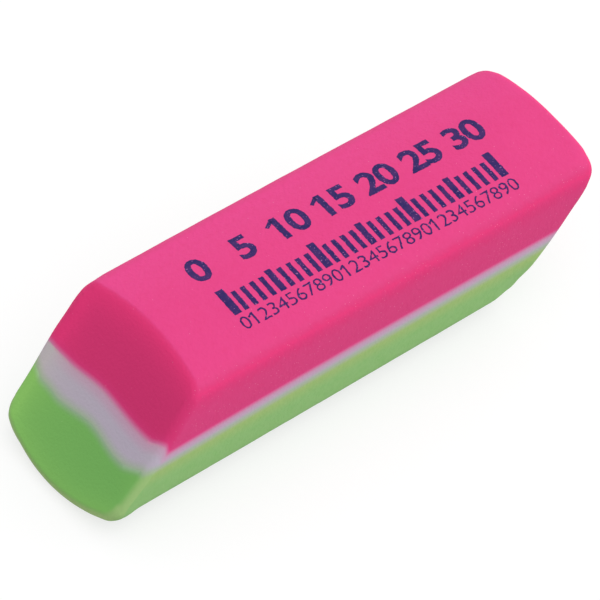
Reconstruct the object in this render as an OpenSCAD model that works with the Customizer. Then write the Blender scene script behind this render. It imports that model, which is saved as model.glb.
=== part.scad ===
// Block eraser: three bonded layers, pillowed faces, slanting end cuts and tumbled edges.
// The middle layer is squeezed thin along the long sides and stays thick in the core.

/* [Block] */
// Length of the block from one end cut to the other, at any one height
block_l = 47.4; // [35:0.1:70]
// Width of the block across its two long sides
block_w = 18; // [14:0.5:24]
// Lean of the two parallel end cuts from upright
end_lean = 43.5; // [0:0.5:50]

/* [Layers] */
// Height of the green layer in the middle of the block
green_t = 5.5; // [4:0.1:8]
// Thickness of the white layer in the middle of the block
white_t = 2.35; // [1.6:0.05:4]
// Height of the pink layer in the middle of the block
pink_t = 5.8; // [4.5:0.1:9]
// Thickness of the white layer where it shows on the long sides
white_side_t = 1.2; // [0.7:0.05:1.6]
// Share of the white layer's thinning that comes from below
pinch_from_below = 0.4; // [0:0.05:1]
// Exponent of the thinning from above; a high one keeps it close to the long sides
pink_pinch_power = 24; // [4:1:30]
// Exponent of the thinning from below
green_pinch_power = 10; // [4:1:30]

/* [Seams] */
// Height of the ripples across the seams
ripple_h = 0.16; // [0:0.01:0.25]
// Length of one ripple in the pink and white seam
pink_ripple_l = 10.3; // [6:0.1:20]
// Length of one ripple in the white and green seam
green_ripple_l = 9; // [6:0.1:20]
// Rise and fall of the seams along the block
sway_h = 0.3; // [0:0.01:0.6]
// Length of one rise and fall along the block
sway_l = 100; // [60:1:140]
// Place along the block where the seams are highest
sway_peak = -8; // [-20:1:20]

/* [Pillowed faces and edges] */
// Radius of the pillowed top, across the block
top_r = 40; // [20:1:100]
// Radius of the pillowed underside, across the block
base_r = 25; // [18:1:100]
// Radius of the swelling long sides
side_r = 28; // [20:1:100]
// Radius of the four long edges
long_edge_r = 2; // [1.3:0.1:2.6]
// Radius of the tumbled edges round the end cuts
end_edge_r = 0.9; // [0.3:0.1:1.2]
// Width of the flat strip along the underside that the block rests on
rest_w = 6; // [3:0.5:9]

/* [Smoothness] */
// Steps round each long edge
edge_steps = 6; // [3:1:8]
// Steps from each long edge to the middle of a pillowed face
face_steps = 6; // [4:1:8]
// Steps round each tumbled end edge
end_steps = 4; // [2:1:6]
// Steps along the block between its end edges
length_steps = 12; // [6:1:16]

/* [Hidden] */

block_h = green_t + white_t + pink_t;
half_w = block_w / 2;
slope = tan(end_lean);
pinch_t = white_t - white_side_t;

// The underside's arc dips below the rest plane, which cuts it to the flat strip
rest_dip = base_r - sqrt(pow(base_r, 2) - pow(rest_w / 2, 2));
// Half way up the block as it is before that cut
mid_z = (block_h - rest_dip) / 2;

// Centres of the arcs in the block's section, as [y, z]
top_centre = [0, block_h - top_r];
base_centre = [0, base_r - rest_dip];
side_centre = [half_w - side_r, mid_z];

// Where two circles cross, on the right of the line from the first centre to the second
function crossing(c1, r1, c2, r2) =
    let (
        span = norm(c2 - c1),
        along = (c2 - c1) / span,
        reach = (span * span + r1 * r1 - r2 * r2) / (2 * span),
        rise = sqrt(r1 * r1 - reach * reach)
    )
    c1 + reach * along + rise * [along[1], -along[0]];

function heading(from, to) = atan2(to[1] - from[1], to[0] - from[0]);
function reversed(list) = [for (i = [len(list) - 1 : -1 : 0]) list[i]];

// Centres of the long edges' fillets, on the arcs of the faces drawn in by the fillet's radius
top_fillet = crossing(top_centre, top_r - long_edge_r, side_centre, side_r - long_edge_r);
base_fillet = crossing(side_centre, side_r - long_edge_r, base_centre, base_r - long_edge_r);

// A point of the section as [y, z, heading], drawn in by the radius of the end edges; the surface lies
// that far out along the heading
function drawn_in(centre, r, angle) =
    [
        centre[0] + (r - end_edge_r) * cos(angle),
        centre[1] + (r - end_edge_r) * sin(angle),
        angle
    ];

// Half an outer face of the section, from the back long side to the middle
function half_face(centre, r, fillet, middle) =
    let (
        side = heading(side_centre, fillet),
        face = heading(centre, fillet)
    )
    concat(
        [for (i = [0 : edge_steps]) drawn_in(fillet, long_edge_r, side + (face - side) * i / edge_steps)],
        [for (i = [1 : face_steps]) drawn_in(centre, r, face + (middle - face) * i / face_steps)]
    );

// A whole outer face, from the front long side to the back one
function whole_face(half) =
    concat(
        [for (p = half) [-p[0], p[1], 180 - p[2]]],
        [for (i = [len(half) - 2 : -1 : 0]) half[i]]
    );

top_face = whole_face(half_face(top_centre, top_r, top_fillet, 90));
base_face = whole_face(half_face(base_centre, base_r, base_fillet, -90));

// Stations along the block as [end, part]: -1 and 1 are the rounds of the near and the far end, where part
// runs from 0 on the long faces to 1 on the cut, and 0 is the length between them
near_round = [for (i = [end_steps : -1 : 0]) [-1, i / end_steps]];
between = [for (i = [1 : length_steps - 1]) [0, i / length_steps]];
far_round = [for (i = [0 : end_steps]) [1, i / end_steps]];
stations = concat(near_round, between, far_round);

// The far end cut's outward normal; the near one points the other way
cut_normal = [1, 0, -slope] / norm([1, slope]);
// Length that the round of an end edge takes along a long side
round_l = end_edge_r * norm([1, slope]);

// A unit vector part of the way from one direction to another
function turned(from, to, part) =
    let (sweep = acos(from * to))
    (sin(sweep * (1 - part)) * from + sin(sweep * part) * to) / sin(sweep);

// Place of a station along a long side, before the block leans, and how far the side is drawn in there
function station_x(s) =
    s[0] == 0
        ? (block_l - 2 * round_l) * (s[1] - 0.5)
        : s[0] * (block_l / 2 - round_l * (1 - sin(90 * s[1])));
function station_inset(s) = s[0] == 0 ? 0 : end_edge_r * (1 - cos(90 * s[1]));

// A row of the outer surface: the long faces lean with the cuts, and a ball rolls round the end edges
function outer_row(s, face) =
    [for (p = face)
        let (
            outward = [0, cos(p[2]), sin(p[2])],
            start = s[0] == 0 ? station_x(s) : s[0] * (block_l / 2 - round_l),
            core = [start + slope * (p[1] - mid_z), p[0], p[1]]
        )
        s[0] == 0
            ? core + end_edge_r * (outward + [slope * outward[2], 0, 0])
            : core + end_edge_r * turned(outward, s[0] * cut_normal, s[1])];

// Columns across a seam, from -1 at the front side to 1 at the back, closer together at the sides
columns = len(top_face) - 1;
function across(j) = -cos(180 * j / columns);

function sway(x) = sway_h * cos(360 * (x - sway_peak) / sway_l);
function ripple(y, length) = ripple_h * cos(360 * y / length);
function pinch(y, power) = pinch_t * pow(abs(y) / half_w, power);
function side_y(z, inset) = side_centre[0] + sqrt(pow(side_r - inset, 2) - pow(z - mid_z, 2));

// A seam between two layers: its height in the middle, its ripples, and the part of the pinch that moves it
function seam_sheet(height, ripple_l, squeeze, power) =
    [for (s = stations)
        let (
            x = station_x(s),
            inset = station_inset(s)
        )
        [for (j = [0 : columns])
            let (
                y = across(j) * (half_w - inset),
                z = height + sway(x) + ripple(y, ripple_l) + squeeze * pinch(y, power)
            )
            [x + slope * (z - mid_z), across(j) * side_y(z, inset), z]]];

// The four sheets that bound the layers, each a row of points for every station
top_sheet = [for (s = stations) outer_row(s, top_face)];
pink_seam = seam_sheet(green_t + white_t, pink_ripple_l, pinch_from_below - 1, pink_pinch_power);
green_seam = seam_sheet(green_t, green_ripple_l, pinch_from_below, green_pinch_power);
base_sheet = [for (s = stations) outer_row(s, base_face)];

// A closed solid between two sheets
module layer(under, over) {
    n = len(under[0]);
    ring = 2 * n;
    last = len(under) - 1;
    points = [for (i = [0 : last]) each concat(under[i], reversed(over[i]))];
    skin = [for (i = [0 : last - 1], k = [0 : ring - 1])
        let (
            a = i * ring + k,
            b = i * ring + (k + 1) % ring
        )
        each [[a, a + ring, b + ring], [a, b + ring, b]]];
    near_cut = [for (j = [0 : n - 2])
        each [[j, j + 1, ring - 2 - j], [j, ring - 2 - j, ring - 1 - j]]];
    far_cut = [for (f = near_cut) [f[0] + last * ring, f[2] + last * ring, f[1] + last * ring]];
    polyhedron(points, concat(skin, near_cut, far_cut), convexity = 4);
}

// Everything above the surface that the block rests on
module above_rest_plane() {
    reach = block_l + slope * block_h;
    translate([-reach, -block_w, 0])
        cube([2 * reach, 2 * block_w, 2 * block_h]);
}

module pink_layer() {
    color("#EC4A8C")
        layer(pink_seam, top_sheet);
}

module white_layer() {
    color("#D9D4DE")
        layer(green_seam, pink_seam);
}

module green_layer() {
    color("#86BE62")
        intersection() {
            layer(base_sheet, green_seam);
            above_rest_plane();
        }
}

pink_layer();
white_layer();
green_layer();
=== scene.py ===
"""Block eraser: three bonded layers of soft vinyl, with a rule printed on the top."""
import math

import bmesh
import bpy
from mathutils import Matrix, Vector, geometry, noise


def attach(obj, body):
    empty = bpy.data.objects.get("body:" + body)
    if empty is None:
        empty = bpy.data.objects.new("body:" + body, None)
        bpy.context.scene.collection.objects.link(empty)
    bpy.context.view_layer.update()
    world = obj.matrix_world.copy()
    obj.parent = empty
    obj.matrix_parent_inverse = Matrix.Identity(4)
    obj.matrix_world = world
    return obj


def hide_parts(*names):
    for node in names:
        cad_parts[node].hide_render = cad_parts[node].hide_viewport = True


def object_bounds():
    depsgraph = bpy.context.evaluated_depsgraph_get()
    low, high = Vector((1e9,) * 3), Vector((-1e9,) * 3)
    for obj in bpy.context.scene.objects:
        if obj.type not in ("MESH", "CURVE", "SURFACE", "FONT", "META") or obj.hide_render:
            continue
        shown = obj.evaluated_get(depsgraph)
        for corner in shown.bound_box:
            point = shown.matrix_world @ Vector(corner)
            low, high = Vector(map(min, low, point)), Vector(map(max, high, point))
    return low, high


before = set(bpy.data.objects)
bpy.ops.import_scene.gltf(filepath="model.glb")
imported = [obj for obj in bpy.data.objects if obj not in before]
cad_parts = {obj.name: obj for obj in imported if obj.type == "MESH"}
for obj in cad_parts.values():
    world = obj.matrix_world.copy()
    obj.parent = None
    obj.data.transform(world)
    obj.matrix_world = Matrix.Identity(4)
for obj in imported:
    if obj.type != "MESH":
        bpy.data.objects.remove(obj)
cad_box = [list(corner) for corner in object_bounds()]

MM = 0.001

# The form of the block, in millimetres, as its solids have it

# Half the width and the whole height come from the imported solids
HALF_W = cad_box[1][1] / MM
BLOCK_H = cad_box[1][2] / MM
# Length from one end cut to the other, at any one height, and the lean of the cuts from upright
BLOCK_L = 47.4
END_LEAN = math.radians(43.5)
# Heights of the two seams in the middle of the block
GREEN_TOP = 5.5
WHITE_TOP = 7.85
# Thickness of the white layer along the long sides, and the share of its thinning that comes from below
WHITE_SIDE_T = 1.2
PINCH_FROM_BELOW = 0.4
# Exponents of the thinning from above and from below: a high one keeps it close to the long sides
PINK_PINCH_POWER = 24
GREEN_PINCH_POWER = 10
# Ripples across the seams
RIPPLE_H = 0.16
PINK_RIPPLE_L = 10.3
GREEN_RIPPLE_L = 9
# Sway of the seams along the block
SWAY_H = 0.3
SWAY_L = 100
SWAY_PEAK = -8
# Radii of the pillowed faces, the swelling sides, the long edges and the tumbled end edges
TOP_R = 40
BASE_R = 25
SIDE_R = 28
LONG_EDGE_R = 2
END_EDGE_R = 0.9
# Width of the flat strip that the block rests on
REST_W = 6

# Depth that the rest plane cuts off the underside, and half way up the block as it is before that cut
REST_DIP = BASE_R - math.sqrt(BASE_R ** 2 - (REST_W / 2) ** 2)
MID_Z = (BLOCK_H - REST_DIP) / 2
SIDE_CENTRE = Vector((HALF_W - SIDE_R, MID_Z))
# Run of an end cut for its height, how much longer that makes it, and the far cut's outward normal
SLOPE = math.tan(END_LEAN)
CUT_STRETCH = math.hypot(1, SLOPE)
CUT_NORMAL = Vector((1, 0, -SLOPE)).normalized()
# Length that the round of an end edge takes along a long side
ROUND_L = END_EDGE_R * CUT_STRETCH
# Thickness that the white layer loses at the long sides
PINCH_T = WHITE_TOP - GREEN_TOP - WHITE_SIDE_T

# Steps of the lattice that each layer is shaped from: round an end edge, along the block, across it and up it
END_STEPS = 12
LENGTH_STEPS = 96
STATIONS = LENGTH_STEPS + 2 * END_STEPS
COLUMNS = 56
ROWS = 8
# Decimal places that the lattice's points are rounded to, which makes its sides exactly -1 and 1
LATTICE_PLACES = 5
# Share of the columns that cross a pillowed face; the others go round its long edges
FACE_SHARE = 4 / 7
# Shares of its length and width that the inside of a seam keeps, clear of the hollows in the skin round it
SEAM_INSIDE_L = 0.98
SEAM_INSIDE_W = 0.95
# Angle past which an edge of a piece is shaded sharp
SHARP = math.radians(40)

# Chance marks of one soft block, in millimetres

# Drags of the two seams where the blade came through the near cut: each has its middle across the block,
# its reach to both sides and its height
PINK_DRAGS = ((-9.3, 2.3, 0.52), (-4.5, 3.5, 0.08), (8.5, 3.2, -0.17))
GREEN_DRAGS = ((-8.4, 2.2, 0.2), (-2.1, 4.1, 0.21), (5.1, 1.6, 0.11))
# Parts of the near end's round between which the drags grow from nothing to the full
PINK_DRAG_PARTS = (0, 0.5)
GREEN_DRAG_PARTS = (0.6, 1)
# Depth that the skin is drawn in everywhere, so that the ink on it stays inside the solids' box
SKIN = 0.015
# Dents of a block that has been tumbled and handled: their depth on faces and on edges, and their spacing
FACE_DENT = 0.012
EDGE_DENT = 0.04
DENT_L = 2.6
# Shares of that depth: its mean, and what the coarse and the fine dents add or take
MEAN_DENT = 0.5
COARSE_DENT = 0.35
FINE_DENT = 0.15
# How much closer the fine dents lie, and the start of their pattern, away from that of the coarse ones
FINE_RATIO = 3
FINE_START = Vector((7, 3, 5))
# Unevenness: each has its middle, its reach and its depth, which is below 0 where the block swells
UNEVEN = (
    # The near end of the back is flattened
    (Vector((-24.5, 9, 4.9)), Vector((10, 2.5, 5)), 0.3),
    # The far end of the top is worn to the front of its middle and full behind it
    (Vector((29, -2.4, 13.3)), Vector((7, 6.5, 4)), 0.21),
    (Vector((28.5, 6, 12.9)), Vector((5, 3, 3)), -0.13),
    # Corners are worn: of the top at the back of the near end and at both sides of the far end
    (Vector((-18, 8.4, 12.2)), Vector((2, 2, 1.4)), 0.1),
    (Vector((28.1, 7.6, 12.8)), Vector((2.2, 1.6, 1.6)), 0.11),
    (Vector((28.2, -7.3, 12.5)), Vector((2.2, 1.4, 1.5)), 0.17),
    # So is the front corner under the far cut
    (Vector((18.8, -8.4, 2)), Vector((2.8, 2.8, 2.8)), 0.3),
    # Edges of the cuts are full below two of those corners, and at both sides of the foot of the near cut
    (Vector((-19.5, 8.7, 10.7)), Vector((2.5, 2, 1.9)), -0.06),
    (Vector((26.6, -8.6, 10.2)), Vector((3, 3, 2.2)), -0.09),
    (Vector((-28.2, 6.4, 1.4)), Vector((2.5, 2.2, 1.5)), -0.11),
    (Vector((-26.2, -8.4, 1.8)), Vector((1.4, 1.2, 1.2)), -0.12),
    # The back edge of the top and the front edge of the underside are full
    (Vector((-9, 8.4, 12.2)), Vector((46, 2.6, 2.6)), -0.19),
    (Vector((8, -8.4, 1.7)), Vector((60, 2, 2.4)), -0.09),
)

# Powder with painted sheen, and light on the skin, with lengths in millimetres

# Exponent of the fading of the powder and painted sheen round an end edge
POWDER_AND_SHEEN_FADE = 2.5
# Length of the round of a long edge, and how far down the top's ones the powder is rubbed off most
EDGE_ARC = 2.4
RUBBED_AT = 1.8
# Reach of the rubbing up to the top and down the side, and the share of the powder and painted sheen that it
# takes off
RUBBED_ABOVE = 0.8
RUBBED_BELOW = 1.8
RUBBED = 0.7
# Light that comes through to the rim of an end cut from each face round it, and the depth that leaves a third
TOP_LIGHT = 1
BACK_LIGHT = 1.1
FOOT_LIGHT = 0.4
FRONT_LIGHT = 0.15
RIM_L = 1.3
# Light from the back that goes on through the whole cut, and the depth that leaves a third of it
BACK_GLOW = 0.45
BACK_GLOW_L = 9
# Light that comes through the long edges of the top
LONG_EDGE_LIGHT = 0.42


def heading(centre, point):
    """Angle of a point of the section, seen from a centre."""
    return math.atan2(point.y - centre.y, point.x - centre.x)


def outer_face(centre, radius, middle):
    """A pillowed face of the section: its arc, its fillet to the side, and the headings that bound them."""
    crossings = geometry.intersect_sphere_sphere_2d(
        centre, radius - LONG_EDGE_R, SIDE_CENTRE, SIDE_R - LONG_EDGE_R)
    fillet = max(crossings, key=lambda point: point.x)
    return centre, radius, middle, fillet, heading(centre, fillet), heading(SIDE_CENTRE, fillet)


TOP_FACE = outer_face(Vector((0, BLOCK_H - TOP_R)), TOP_R, math.pi / 2)
BASE_FACE = outer_face(Vector((0, BASE_R - REST_DIP)), BASE_R, -math.pi / 2)


def crown_z(y):
    """Height of the pillowed top across the block."""
    return BLOCK_H - TOP_R + math.sqrt(TOP_R ** 2 - y ** 2)


def foot_z(y):
    """Height of the pillowed underside across the block, as it is before the rest plane cuts it."""
    return BASE_R - REST_DIP - math.sqrt(BASE_R ** 2 - y ** 2)


def side_y(z, inset):
    """Place of the swelling back side at a height, drawn in by an inset."""
    return SIDE_CENTRE.x + math.sqrt((SIDE_R - inset) ** 2 - (z - MID_Z) ** 2)


def station(u):
    """The end whose round a place along the lattice is on, -1 near, 1 far or 0 between them, and the part of
    that stretch: a round's part goes from 0 on the long faces to 1 on the cut."""
    i = round((u + 1) / 2 * STATIONS)
    if i <= END_STEPS:
        return -1, 1 - i / END_STEPS
    if i >= STATIONS - END_STEPS:
        return 1, 1 - (STATIONS - i) / END_STEPS
    return 0, (i - END_STEPS) / LENGTH_STEPS


def station_x(u):
    """Place of a station along a long side before the block leans, and how far the side is drawn in there."""
    end, part = station(u)
    if end == 0:
        return (BLOCK_L - 2 * ROUND_L) * (part - 0.5), 0
    quarter = math.radians(90 * part)
    x = end * (BLOCK_L / 2 - ROUND_L * (1 - math.sin(quarter)))
    return x, END_EDGE_R * (1 - math.cos(quarter))


def leaned(x, y, z):
    """A point of the block as it leans with its cuts."""
    return Vector((x + SLOPE * (z - MID_Z), y, z))


def swell(away_squared):
    """A smooth swelling: 1 in its middle and 0 past its reach, for the square of the part of the reach."""
    return max(0, 1 - away_squared) ** 2


def smooth_step(part):
    """Eases from 0 to 1."""
    part = min(1, max(0, part))
    return part * part * (3 - 2 * part)


def uneven(point):
    """Depth of the block's unevenness at a point."""
    total = 0
    for middle, reach, depth in UNEVEN:
        away = Vector((point - middle)[i] / reach[i] for i in range(3))
        total += depth * swell(away.length_squared)
    return total


def dent(point, wear):
    """Depth of the skin under a point of the clean form, for a wear from 0 on open faces to 1 on edges."""
    coarse = noise.noise(point / DENT_L)
    fine = noise.noise(point * (FINE_RATIO / DENT_L) + FINE_START)
    depth = FACE_DENT + (EDGE_DENT - FACE_DENT) * wear
    return SKIN + uneven(point) + depth * (MEAN_DENT + COARSE_DENT * coarse + FINE_DENT * fine)


def turned(outward, u):
    """An outward direction of a long face, turned towards the cut where an end edge is rounded."""
    end, part = station(u)
    return outward.slerp(end * CUT_NORMAL, part) if end else outward


def outer_point(u, v, face):
    """A point of a pillowed face and its outward direction: a ball rolls round the end edges."""
    centre, radius, middle, fillet, face_end, side = face
    t = abs(v)
    if t < FACE_SHARE:
        arc, arc_r = centre, radius
        angle = middle + (face_end - middle) * t / FACE_SHARE
    else:
        arc, arc_r = fillet, LONG_EDGE_R
        angle = face_end + (side - face_end) * (t - FACE_SHARE) / (1 - FACE_SHARE)
    hand = math.copysign(1, v)
    ball_y = hand * (arc.x + (arc_r - END_EDGE_R) * math.cos(angle))
    ball_z = arc.y + (arc_r - END_EDGE_R) * math.sin(angle)
    end = station(u)[0]
    ball_x = end * (BLOCK_L / 2 - ROUND_L) if end else station_x(u)[0]
    outward = turned(Vector((0, hand * math.cos(angle), math.sin(angle))), u)
    return leaned(ball_x, ball_y, ball_z) + END_EDGE_R * outward, outward


def seam_point(u, v, height, ripple_l, squeeze, power, drags, drag_parts):
    """A point of a seam, which has no outward direction: the seam sways along the block, ripples across it,
    is pinched at the long sides and is dragged on the near cut."""
    x, inset = station_x(u)
    across = math.sin(math.radians(90 * v))
    y = across * (HALF_W - inset)
    sway = SWAY_H * math.cos(math.tau * (x - SWAY_PEAK) / SWAY_L)
    ripple = RIPPLE_H * math.cos(math.tau * y / ripple_l)
    pinch = squeeze * PINCH_T * abs(y / HALF_W) ** power
    z = height + sway + ripple + pinch
    end, part = station(u)
    if end == -1:
        start, full = drag_parts
        drag = sum(rise * swell(((y - middle) / reach) ** 2) for middle, reach, rise in drags)
        z += drag * smooth_step((part - start) / (full - start))
    return leaned(x, across * side_y(z, inset), z), None


# The four sheets that bound the layers


def top_sheet(u, v):
    return outer_point(u, v, TOP_FACE)


def pink_seam(u, v):
    squeeze = PINCH_FROM_BELOW - 1
    return seam_point(
        u, v, WHITE_TOP, PINK_RIPPLE_L, squeeze, PINK_PINCH_POWER, PINK_DRAGS, PINK_DRAG_PARTS)


def green_seam(u, v):
    squeeze = PINCH_FROM_BELOW
    return seam_point(
        u, v, GREEN_TOP, GREEN_RIPPLE_L, squeeze, GREEN_PINCH_POWER, GREEN_DRAGS, GREEN_DRAG_PARTS)


def base_sheet(u, v):
    return outer_point(u, v, BASE_FACE)


def rim_light(point, end):
    """Light that comes through from the long faces at a point of an end cut: 1 at the brightest rim."""
    lean = end * CUT_NORMAL.z
    under_top = crown_z(point.y) - END_EDGE_R * (1 - lean) - point.z
    over_foot = point.z - foot_z(point.y) - END_EDGE_R * (1 + lean)
    side = side_y(point.z, END_EDGE_R)
    lights = (
        (TOP_LIGHT, CUT_STRETCH * under_top),
        (BACK_LIGHT, side - point.y),
        (FOOT_LIGHT, CUT_STRETCH * over_foot),
        (FRONT_LIGHT, side + point.y),
    )
    rim = max(light * math.exp(-max(0, depth) / RIM_L) for light, depth in lights)
    return min(1, rim + BACK_GLOW * math.exp((point.y - side) / BACK_GLOW_L))


def rubbing(down):
    """How clean a long edge of the top is rubbed, from 0 to 1, some way down its round or down the side."""
    past = down - RUBBED_AT
    return max(0, 1 - max(past / RUBBED_BELOW, -past / RUBBED_ABOVE))


def skin_point(u, v, w, under, over):
    """Where a point of the lattice lies on a layer between two sheets, and its finish: the powder and painted
    sheen, the painted light that comes through at the rims of the cuts and at the top's long edges, the
    painted highlight on the upright and the lower edges of the cuts, and the painted light on the lower ones
    alone, whose rounds are in shade."""
    low, low_outward = under(u, v)
    high, high_outward = over(u, v)
    point = low.lerp(high, (w + 1) / 2)
    outward = low_outward if w == -1 else high_outward if w == 1 else None
    # From 0 on a pillowed face to 1 on a long side, and the way down from the top's open face
    upright = 0
    down = 0
    if outward:
        upright = max(0, (abs(v) - FACE_SHARE) / (1 - FACE_SHARE))
        down = EDGE_ARC * upright
    elif abs(v) == 1:
        x, inset = station_x(u)
        point = leaned(x, v * side_y(point.z, inset), point.z)
        outward = turned(Vector((0, v, 0)), u)
        upright = 1
        down = EDGE_ARC + high.z - point.z
    if abs(u) == 1:
        outward = u * CUT_NORMAL
    end, part = station(u)
    end_part = part if end else 0
    end_edge = math.sin(math.pi * end_part)
    if outward:
        long_edge = math.sin(math.pi * upright)
        point -= dent(point, max(end_edge, long_edge)) * outward
    else:
        point = Vector((SEAM_INSIDE_L * point.x, SEAM_INSIDE_W * point.y, point.z))
    point.z = max(point.z, 0)
    rubbed = rubbing(down) if high_outward else 0
    powder_and_sheen = (1 - RUBBED * rubbed) * (1 - end_part) ** POWDER_AND_SHEEN_FADE
    rim = max(LONG_EDGE_LIGHT * rubbed, end_part * rim_light(point, end) if end else 0)
    # Painted highlights on the edges of the cuts, with painted light on the lower ones, whose rounds face
    # down into shade
    foot_highlight = end_edge if w == -1 else 0
    side_highlight = upright * math.sin(math.pi * math.sqrt(end_part))
    return point, powder_and_sheen, rim, max(foot_highlight, side_highlight), foot_highlight * (1 - upright)


def lattice(steps):
    """The surface of a cube from -1 to 1 that faces outwards, cut into steps along x, y and z."""
    bm = bmesh.new()
    bmesh.ops.create_cube(bm, size=2)
    for axis, count in enumerate(steps):
        # The edges along this axis aren't cut yet, so they go from one side of the cube to the other
        along = [e for e in bm.edges if e.verts[0].co[axis] * e.verts[1].co[axis] < 0]
        bmesh.ops.subdivide_edges(bm, edges=along, cuts=count - 1, use_grid_fill=True)
    return bm


def finished(bm, name, material):
    """The piece made of a bmesh in millimetres, riding on the block."""
    bmesh.ops.scale(bm, vec=(MM, MM, MM), verts=bm.verts)
    for face in bm.faces:
        face.smooth = True
    for edge in bm.edges:
        edge.smooth = edge.calc_face_angle(math.pi) < SHARP
    mesh = bpy.data.meshes.new(name)
    bm.to_mesh(mesh)
    bm.free()
    mesh.materials.append(material)
    piece = bpy.data.objects.new(name, mesh)
    bpy.context.scene.collection.objects.link(piece)
    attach(piece, "root")
    return piece


def layer(name, under, over, material, node_name):
    """A layer of the block: a cube's lattice is drawn out between two sheets, and takes the place of a solid.
    Its attributes give the materials the heights over the two seams in millimetres, the powder and painted
    sheen, the painted light at the rims, and the painted highlights on the edges of the cuts, which only the
    green shows."""
    bm = lattice((STATIONS, COLUMNS, ROWS))
    kinds = ("over_pink_seam", "over_green_seam", "powder_and_sheen", "rim", "edge_highlight", "foot")
    over_pink, over_green, powder_and_sheen, rim, edge_highlight, foot = (bm.verts.layers.float.new(kind) for kind in kinds)
    for vert in bm.verts:
        u, v, w = (round(c, LATTICE_PLACES) for c in vert.co)
        vert.co, vert[powder_and_sheen], vert[rim], vert[edge_highlight], vert[foot] = skin_point(u, v, w, under, over)
        vert[over_pink] = vert.co.z - pink_seam(u, v)[0].z
        vert[over_green] = vert.co.z - green_seam(u, v)[0].z
    piece = finished(bm, name, material)
    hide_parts(node_name)


# Places of a Mix node's sockets, whose names repeat: its share, its two numbers and its two colours
SHARE = 0
NUMBER_A = 2
NUMBER_B = 3
COLOUR_A = 6
COLOUR_B = 7


def linear(code):
    """An sRGB hex colour as linear RGBA."""
    parts = (int(code[i:i + 2], 16) / 255 for i in (1, 3, 5))
    return (*(c / 12.92 if c <= 0.04045 else ((c + 0.055) / 1.055) ** 2.4 for c in parts), 1)


def node(tree, kind, inputs=(), **settings):
    """Adds a node with its settings and inputs. An input has its socket's name or place, and a plain value,
    an output that is linked to it, or a node whose first output is."""
    made = tree.nodes.new(kind)
    for name, value in settings.items():
        setattr(made, name, value)
    for name, value in dict(inputs).items():
        if isinstance(value, bpy.types.Node):
            value = next(output for output in value.outputs if output.enabled)
        if isinstance(value, bpy.types.NodeSocket):
            tree.links.new(value, made.inputs[name])
        else:
            made.inputs[name].default_value = value
    return made


def new_material(name):
    """A material with nothing in it yet, and its nodes."""
    material = bpy.data.materials.new(name)
    material.use_nodes = True
    material.node_tree.nodes.clear()
    return material, material.node_tree


def per_metre(size_mm):
    """Scale of a pattern on Object coordinates, for a feature of a real size."""
    return 1 / (size_mm * MM)


def tinted(tree, colour, measure, start, full, code, most=1.0):
    """A colour that takes on a share of another: none where a measure is at its start, the most where it is
    full."""
    share = node(tree, "ShaderNodeMapRange", {
        "Value": measure,
        "From Min": start,
        "From Max": full,
        "To Max": most,
    }, interpolation_type="SMOOTHSTEP")
    return node(tree, "ShaderNodeMix", {
        SHARE: share, COLOUR_A: colour, COLOUR_B: linear(code)}, data_type="RGBA")


def facing_side(tree):
    """1 where a face looks to one of the long sides, and 0 where it looks up, down or along the block."""
    normal = node(tree, "ShaderNodeTexCoord").outputs["Normal"]
    sideways = node(tree, "ShaderNodeSeparateXYZ", {"Vector": normal}).outputs["Y"]
    return node(tree, "ShaderNodeMath", {0: sideways}, operation="ABSOLUTE")


def soft_vinyl(tree, colour):
    """Plasticised PVC, calendered, cut and tumbled: matte, with next to no shine, and a fine powdery grain.
    The real grain is finer than can show, so it is drawn a few times coarser."""
    place = node(tree, "ShaderNodeTexCoord").outputs["Object"]
    grain = node(tree, "ShaderNodeTexNoise", {"Vector": place, "Scale": per_metre(0.3), "Detail": 4.0})
    rough = node(tree, "ShaderNodeMapRange", {
        "Value": grain, "From Min": 0.3, "From Max": 0.7, "To Min": 0.55, "To Max": 0.7})
    bump = node(tree, "ShaderNodeBump", {"Height": grain, "Strength": 0.8, "Distance": 0.05 * MM})
    surface = node(tree, "ShaderNodeBsdfPrincipled", {
        "Base Color": colour,
        "Roughness": rough,
        "IOR": 1.5,
        "Specular IOR Level": 0.15,
        "Normal": bump,
    })
    node(tree, "ShaderNodeOutputMaterial", {"Surface": surface})


def powdered(tree, clean, powdery_and_sheen):
    """A clean colour that turns powdery, with painted sheen, on the long faces, with a ragged border at the
    rubbed edges.
    """
    place = node(tree, "ShaderNodeTexCoord").outputs["Object"]
    powder_and_sheen = node(tree, "ShaderNodeAttribute", attribute_name="powder_and_sheen").outputs["Fac"]
    border = node(tree, "ShaderNodeTexNoise", {"Vector": place, "Scale": per_metre(0.6), "Detail": 5.0})
    ragged = node(tree, "ShaderNodeMath", {0: border, 1: 0.9, 2: powder_and_sheen}, operation="MULTIPLY_ADD")
    share = node(tree, "ShaderNodeMapRange", {
        "Value": ragged, "From Min": 0.55, "From Max": 1.65}, interpolation_type="SMOOTHSTEP")
    return node(tree, "ShaderNodeMix", {
        SHARE: share, COLOUR_A: clean, COLOUR_B: powdery_and_sheen}, data_type="RGBA")


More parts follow.
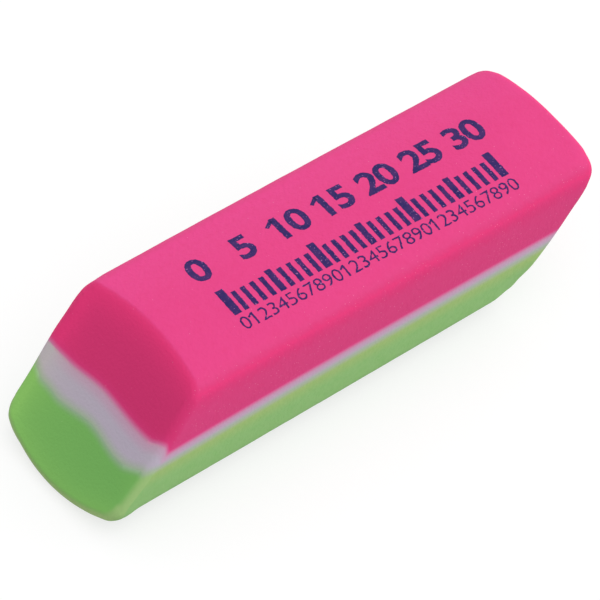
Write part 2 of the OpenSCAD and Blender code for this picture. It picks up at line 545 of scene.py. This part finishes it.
def dust(tree, colour, speck, most):
    """Specks of eraser dust, a tenth of a millimetre across, in clumps on the long sides and few elsewhere;
    most is the share of places that has one in a clump."""
    place = node(tree, "ShaderNodeTexCoord").outputs["Object"]
    upright = node(tree, "ShaderNodeMapRange", {
        "Value": facing_side(tree),
        "From Min": 0.2,
        "From Max": 0.7,
        "To Min": 0.08 * most,
        "To Max": most,
    })
    clumps = node(tree, "ShaderNodeTexNoise", {"Vector": place, "Scale": per_metre(3), "Detail": 2.0})
    clump = node(tree, "ShaderNodeMapRange", {
        "Value": clumps, "From Min": 0.4, "From Max": 0.6, "To Min": 0.2})
    amount = node(tree, "ShaderNodeMath", {0: clump, 1: upright}, operation="MULTIPLY")
    cells = node(tree, "ShaderNodeTexVoronoi", {"Vector": place, "Scale": per_metre(0.22)})
    chance = node(tree, "ShaderNodeSeparateColor", {"Color": cells.outputs["Color"]}).outputs
    kept = node(tree, "ShaderNodeMath", {0: chance["Red"], 1: amount}, operation="LESS_THAN")
    thick = node(tree, "ShaderNodeMath", {0: kept, 1: chance["Green"]}, operation="MULTIPLY")
    near = node(tree, "ShaderNodeMapRange", {
        "Value": cells, "From Min": 0.24, "From Max": 0.1, "To Max": 0.55}, interpolation_type="SMOOTHSTEP")
    share = node(tree, "ShaderNodeMath", {0: near, 1: thick}, operation="MULTIPLY")
    return node(tree, "ShaderNodeMix", {
        SHARE: share, COLOUR_A: colour, COLOUR_B: linear(speck)}, data_type="RGBA")


def pink_vinyl():
    """Hot pink soft vinyl: paler with powder and painted sheen on the long faces, most at the back, and deep
    on the cuts. It is brighter where light comes through: at the rims of the cuts, on rubbed edges and near
    the white."""
    material, tree = new_material("pink_vinyl")
    place = node(tree, "ShaderNodeTexCoord").outputs["Object"]
    rim = node(tree, "ShaderNodeAttribute", attribute_name="rim").outputs["Fac"]
    over_seam = node(tree, "ShaderNodeAttribute", attribute_name="over_pink_seam").outputs["Fac"]
    patches = node(tree, "ShaderNodeTexNoise", {"Vector": place, "Scale": per_metre(5), "Detail": 3.0})
    clean = node(tree, "ShaderNodeMix", {
        SHARE: patches, COLOUR_A: linear("#E43A7A"), COLOUR_B: linear("#DE3677")}, data_type="RGBA")
    clean = node(tree, "ShaderNodeMix", {
        SHARE: rim, COLOUR_A: clean, COLOUR_B: linear("#FD3E84")}, data_type="RGBA")
    powdery_and_sheen = node(tree, "ShaderNodeMix", {
        SHARE: patches, COLOUR_A: linear("#E84488"), COLOUR_B: linear("#E44186")}, data_type="RGBA")
    # The powder and painted sheen get paler from behind the middle of the top to its back
    across = node(tree, "ShaderNodeSeparateXYZ", {"Vector": place}).outputs["Y"]
    back = node(tree, "ShaderNodeMapRange", {"Value": across, "From Min": 1 * MM, "From Max": 6 * MM})
    powdery_and_sheen = node(tree, "ShaderNodeMix", {
        SHARE: back, COLOUR_A: powdery_and_sheen, COLOUR_B: linear("#E9478E")}, data_type="RGBA")
    # A shade duller on faces that look to a long side
    powdery_and_sheen = node(tree, "ShaderNodeMix", {
        SHARE: facing_side(tree), COLOUR_A: powdery_and_sheen, COLOUR_B: linear("#E34684")}, data_type="RGBA")
    colour = powdered(tree, clean, powdery_and_sheen)
    # In the last millimetre to the white it brightens, and then turns lilac
    colour = tinted(tree, colour, over_seam, 0.9, 0.1, "#EE4690", 0.4)
    colour = tinted(tree, colour, over_seam, 0.4, -0.3, "#DCA2CC")
    soft_vinyl(tree, dust(tree, colour, "#F7A3C4", 0.6))
    return material


def white_vinyl():
    """Unpigmented soft vinyl: milky and cool, with painted light at the rims of the cuts, lilac under the
    pink and green over the green, which shine through it."""
    material, tree = new_material("white_vinyl")
    rim = node(tree, "ShaderNodeAttribute", attribute_name="rim").outputs["Fac"]
    over_pink = node(tree, "ShaderNodeAttribute", attribute_name="over_pink_seam").outputs["Fac"]
    over_green = node(tree, "ShaderNodeAttribute", attribute_name="over_green_seam").outputs["Fac"]
    colour = tinted(tree, linear("#C8BCD0"), over_pink, -1.1, -0.1, "#D6A4C4")
    # Painted light that comes through at the rims of the cuts
    colour = node(tree, "ShaderNodeMix", {
        SHARE: rim, COLOUR_A: colour, COLOUR_B: linear("#D6CDD0")}, data_type="RGBA")
    # At both seams, some tenths of a millimetre bleed into the next colour
    colour = tinted(tree, colour, over_green, 0.75, -0.75, "#93CC6E")
    colour = tinted(tree, colour, over_pink, -0.3, 0.4, "#EC4080")
    soft_vinyl(tree, colour)
    return material


def green_vinyl():
    """Apple green soft vinyl: powdery, with painted sheen, on the long sides, and yellower there near the
    white. It is brighter at the rims of the cuts, where light comes through, and has a painted highlight on
    their edges, most on the foot, whose round is in shade."""
    material, tree = new_material("green_vinyl")
    place = node(tree, "ShaderNodeTexCoord").outputs["Object"]
    rim = node(tree, "ShaderNodeAttribute", attribute_name="rim").outputs["Fac"]
    over_seam = node(tree, "ShaderNodeAttribute", attribute_name="over_green_seam").outputs["Fac"]
    edge_highlight = node(tree, "ShaderNodeAttribute", attribute_name="edge_highlight").outputs["Fac"]
    foot = node(tree, "ShaderNodeAttribute", attribute_name="foot").outputs["Fac"]
    patches = node(tree, "ShaderNodeTexNoise", {"Vector": place, "Scale": per_metre(8)})
    clean = node(tree, "ShaderNodeMix", {
        SHARE: patches, COLOUR_A: linear("#7FC367"), COLOUR_B: linear("#79BD63")}, data_type="RGBA")
    clean = node(tree, "ShaderNodeMix", {
        SHARE: rim, COLOUR_A: clean, COLOUR_B: linear("#9CDC72")}, data_type="RGBA")
    powdery_and_sheen = tinted(tree, linear("#9BCB81"), over_seam, -2.2, -0.3, "#ADCA7E")
    colour = powdered(tree, clean, powdery_and_sheen)
    # Painted highlight on the edges of the cuts, and more painted light on the foot's round, which is in
    # shade
    colour = tinted(tree, colour, edge_highlight, 0.0, 1.0, "#ACD087", 0.85)
    colour = tinted(tree, colour, foot, 0.4, 1.0, "#BFE094", 0.85)
    # At the seam, some tenths of a millimetre bleed into the white
    colour = tinted(tree, colour, over_seam, -0.65, 0.65, "#C8BCD0")
    soft_vinyl(tree, dust(tree, colour, "#C4DDB2", 0.08))
    return material


def navy_ink():
    """Pad-printed ink on soft vinyl: a matte film, purple where it is thin, with pinholes that show pink."""
    material, tree = new_material("navy_ink")
    place = node(tree, "ShaderNodeTexCoord").outputs["Object"]
    film = node(tree, "ShaderNodeTexNoise", {"Vector": place, "Scale": per_metre(0.9), "Detail": 4.0})
    thin = node(tree, "ShaderNodeMapRange", {"Value": film, "From Min": 0.4, "From Max": 0.65})
    colour = node(tree, "ShaderNodeMix", {
        SHARE: thin, COLOUR_A: linear("#291F60"), COLOUR_B: linear("#442768")}, data_type="RGBA")
    grain = node(tree, "ShaderNodeTexNoise", {"Vector": place, "Scale": per_metre(0.2), "Detail": 3.0})
    colour = tinted(tree, colour, grain, 0.37, 0.3, "#A46DA6")
    surface = node(tree, "ShaderNodeBsdfPrincipled", {
        "Base Color": colour, "Roughness": 0.6, "Specular IOR Level": 0.15})
    node(tree, "ShaderNodeOutputMaterial", {"Surface": surface})
    return material


# The printed rule, in millimetres

# Middle of the print on the top, its turn, and a reach to each end that takes in all of it
PRINT_AT = Vector((5.1, 0, 0))
PRINT_TURN = math.radians(-2.2)
PRINT_HALF_L = 18
# Length of the scale, and of its units
SCALE_MM = 30
CENTIMETRE = 10
HALF_CENTIMETRE = 5
# Foot of the marks, and length and width of the centimetre, half-centimetre and millimetre ones
MARK_Y = -4.35
CENTIMETRE_MARK = (3.2, 0.8)
HALF_MARK = (2.8, 0.65)
MILLIMETRE_MARK = (2.4, 0.48)
# Foot, height and added weight of the large numerals, at every half-centimetre
LARGE_Y = 0.5
LARGE_H = 3.1
LARGE_WEIGHT = 0.025
# Foot, height and added weight of the small numerals, at every mark
SMALL_Y = -6.2
SMALL_H = 1.4
SMALL_WEIGHT = -0.006
# Steps of a digit's curves
DIGIT_STEPS = 6
# Distance between the digits of a number, and size, place and turn of the flag of a 1, in heights of a digit
DIGIT_PITCH = 0.62
FLAG_L = 0.36
FLAG_W = 0.13
FLAG_X = -0.17
FLAG_Y = 0.83
FLAG_TURN = math.radians(-52)
# Distance within which points of the flat print are joined
ONE_POINT = 0.003
# Spacing of the cuts that let the film follow the pillowed top, and how close to a cut a point is on it
FILM_STEP = 0.14
FILM_CUT = 1e-5
# Raggedness of the film's outline, its spacing, and its seed, which keeps it the same in every run
RAGGED = 0.06
RAGGED_L = 0.25
RAGGED_SEED = 1
# Height of the film over the vinyl, and its thickness, most of it sunk in
INK_PROUD = 0.012
INK_T = 0.03


def bar(bm, x, y, length, width, turn=0):
    """Adds a straight bar of ink, with its middle at x, y."""
    size = Matrix.Diagonal((width, length, 1, 1))
    place = Matrix.Translation((x, y, 0)) @ Matrix.Rotation(turn, 4, "Z") @ size
    bmesh.ops.create_grid(bm, x_segments=1, y_segments=1, size=0.5, matrix=place)


def digit(bm, text, height, weight, x, y):
    """Adds one digit: its foot is centred on x, y. A 1 gets a flag, which tells it from a mark."""
    curve = bpy.data.curves.new("digit", "FONT")
    curve.body = text
    curve.align_x = "CENTER"
    curve.offset = weight
    curve.resolution_u = DIGIT_STEPS
    holder = bpy.data.objects.new("digit", curve)
    bpy.context.scene.collection.objects.link(holder)
    bpy.context.view_layer.update()
    flat = bpy.data.meshes.new_from_object(holder.evaluated_get(bpy.context.evaluated_depsgraph_get()))
    bpy.data.objects.remove(holder)
    bpy.data.curves.remove(curve)
    foot = min(vert.co.y for vert in flat.vertices)
    size = height / (max(vert.co.y for vert in flat.vertices) - foot)
    flat.transform(Matrix.Translation((x, y, 0)) @ Matrix.Scale(size, 4) @ Matrix.Translation((0, -foot, 0)))
    bm.from_mesh(flat)
    bpy.data.meshes.remove(flat)
    if text == "1":
        bar(bm, x + FLAG_X * height, y + FLAG_Y * height, FLAG_L * height, FLAG_W * height, FLAG_TURN)


def number(bm, text, height, weight, x, y):
    """Adds a plain number, centred on x, with its foot at y."""
    for i, figure in enumerate(text):
        digit(bm, figure, height, weight, x + (i - (len(text) - 1) / 2) * DIGIT_PITCH * height, y)


def flat_rule():
    """The marks and numbers of the rule, as flat faces round the middle of the print that all look up."""
    bm = bmesh.new()
    for i in range(SCALE_MM + 1):
        x = i - SCALE_MM / 2
        length, width = MILLIMETRE_MARK
        if i % CENTIMETRE == 0:
            length, width = CENTIMETRE_MARK
        elif i % HALF_CENTIMETRE == 0:
            length, width = HALF_MARK
        bar(bm, x, MARK_Y + length / 2, length, width)
        number(bm, str(i % CENTIMETRE), SMALL_H, SMALL_WEIGHT, x, SMALL_Y)
        if i % HALF_CENTIMETRE == 0:
            number(bm, str(i), LARGE_H, LARGE_WEIGHT, x, LARGE_Y)
    bmesh.ops.remove_doubles(bm, verts=bm.verts, dist=ONE_POINT)
    # The filling of a digit can put three faces on an edge in a sharp notch, and they are parted there
    bmesh.ops.split_edges(bm, edges=[edge for edge in bm.edges if len(edge.link_faces) > 2])
    return bm


def top_height(x, y):
    """Height of the pink layer's dented top at a place on it."""
    crown = Vector((x, y, crown_z(y)))
    return crown.z - dent(crown, 0)


def printed_rule(material):
    """A millimetre rule in ink: marks, a large number at every fifth, and the last figure of each below it.
    The film is cut finely to follow the top, made ragged at its outline, and given its thickness last."""
    bm = flat_rule()
    spans = (
        (Vector((1, 0, 0)), -PRINT_HALF_L, PRINT_HALF_L),
        (Vector((0, 1, 0)), SMALL_Y, LARGE_Y + LARGE_H),
    )
    for axis, start, stop in spans:
        for i in range(math.ceil((stop - start) / FILM_STEP)):
            bmesh.ops.bisect_plane(
                bm, geom=bm.verts[:] + bm.edges[:] + bm.faces[:], dist=FILM_CUT,
                plane_co=axis * (start + i * FILM_STEP), plane_no=axis)
    noise.seed_set(RAGGED_SEED)
    for vert in bm.verts:
        if vert.is_boundary:
            vert.co += RAGGED * Vector((*noise.noise_vector(vert.co / RAGGED_L)[:2], 0))
    bmesh.ops.rotate(bm, cent=(0, 0, 0), matrix=Matrix.Rotation(PRINT_TURN, 3, "Z"), verts=bm.verts)
    bmesh.ops.translate(bm, vec=PRINT_AT, verts=bm.verts)
    for vert in bm.verts:
        vert.co.z = top_height(vert.co.x, vert.co.y) + INK_PROUD - INK_T
    extruded = bmesh.ops.extrude_face_region(bm, geom=bm.faces[:])["geom"]
    raised = [part for part in extruded if isinstance(part, bmesh.types.BMVert)]
    bmesh.ops.translate(bm, vec=(0, 0, INK_T), verts=raised)
    finished(bm, "printed_rule", material)


# The stage

# The photograph's view: turn and rise of the camera round the block's foot, its distance and its aim in
# millimetres, and its lens
VIEW_TURN = math.radians(-37.67)
VIEW_RISE = math.radians(48)
VIEW_DISTANCE = 323.1
VIEW_AIM = Vector((1.48, 2.25, 2.42))
LENS = 207.2
SENSOR = 36
# Light of the sky overhead, and what it gains towards the right and a little towards the front
SKY_LIGHT = 1.04
SKY_TILT = (0.8, -0.23, 0)
# Light that the floor gives back, the part of it that the eye sees, and what that gains to look white
FLOOR_SHADE = 0.4
FLOOR_SEEN = 0.3
FLOOR_GAIN = 0.72
# Radius of the floor, the number of its sides, and how far it lies under the block, in millimetres
FLOOR_R = 1500
FLOOR_SIDES = 64
FLOOR_DROP = 0.02


def stage_camera():
    """The camera of the photograph."""
    camera = bpy.data.objects.new("camera", bpy.data.cameras.new("camera"))
    bpy.context.scene.collection.objects.link(camera)
    camera.data.sensor_width = SENSOR
    camera.data.lens = LENS
    level = math.cos(VIEW_RISE)
    back = Vector((math.sin(VIEW_TURN) * level, -math.cos(VIEW_TURN) * level, math.sin(VIEW_RISE)))
    camera.location = VIEW_DISTANCE * MM * back
    camera.rotation_euler = (VIEW_AIM * MM - camera.location).to_track_quat("-Z", "Y").to_euler()
    bpy.context.scene.camera = camera


def seen(tree):
    """1 for what the camera sees, straight or in a reflection, and 0 for light that falls on the block."""
    rays = node(tree, "ShaderNodeLightPath").outputs
    mirror = node(tree, "ShaderNodeMath", {
        0: rays["Is Glossy Ray"], 1: rays["Is Transmission Ray"]}, operation="MAXIMUM")
    return node(tree, "ShaderNodeMath", {0: rays["Is Camera Ray"], 1: mirror}, operation="MAXIMUM")


def stage_sky():
    """Soft light from all round that grows towards the right and the front, seen as a white backdrop."""
    world = bpy.data.worlds.new("sky")
    bpy.context.scene.world = world
    world.use_nodes = True
    tree = world.node_tree
    tree.nodes.clear()
    towards = node(tree, "ShaderNodeTexCoord").outputs["Generated"]
    tilt = node(tree, "ShaderNodeVectorMath", {0: towards, 1: SKY_TILT}, operation="DOT_PRODUCT")
    soft = node(tree, "ShaderNodeMath", {0: tilt, 1: SKY_LIGHT}, operation="ADD")
    strength = node(tree, "ShaderNodeMix", {SHARE: seen(tree), NUMBER_A: soft, NUMBER_B: 1.0})
    light = node(tree, "ShaderNodeBackground", {"Color": (1, 1, 1, 1), "Strength": strength})
    node(tree, "ShaderNodeOutputWorld", {"Surface": light})


def stage_floor():
    """A matte paper sweep: it gives back less than half of its light, and looks white to the camera, with the
    block's soft shadow on it."""
    bm = bmesh.new()
    bmesh.ops.create_circle(bm, cap_ends=True, segments=FLOOR_SIDES, radius=FLOOR_R * MM)
    bmesh.ops.translate(bm, vec=(0, 0, -FLOOR_DROP * MM), verts=bm.verts)
    mesh = bpy.data.meshes.new("floor")
    bm.to_mesh(mesh)
    bm.free()
    material, tree = new_material("paper_sweep")
    eye = seen(tree)
    shade = node(tree, "ShaderNodeMix", {SHARE: eye, NUMBER_A: FLOOR_SHADE, NUMBER_B: FLOOR_SEEN})
    paper = node(tree, "ShaderNodeBsdfDiffuse", {"Color": shade})
    gain = node(tree, "ShaderNodeMath", {0: eye, 1: FLOOR_GAIN}, operation="MULTIPLY")
    glow = node(tree, "ShaderNodeEmission", {"Color": (1, 1, 1, 1), "Strength": gain})
    both = node(tree, "ShaderNodeAddShader", {0: paper, 1: glow})
    node(tree, "ShaderNodeOutputMaterial", {"Surface": both})
    mesh.materials.append(material)
    floor = bpy.data.objects.new("floor", mesh)
    bpy.context.scene.collection.objects.link(floor)


bpy.context.scene.view_settings.view_transform = "Standard"
stage_camera()
stage_sky()
stage_floor()

layer("pink_body", pink_seam, top_sheet, pink_vinyl(), "pink_layer")
layer("white_band", green_seam, pink_seam, white_vinyl(), "white_layer")
layer("green_body", base_sheet, green_seam, green_vinyl(), "green_layer")
printed_rule(navy_ink())
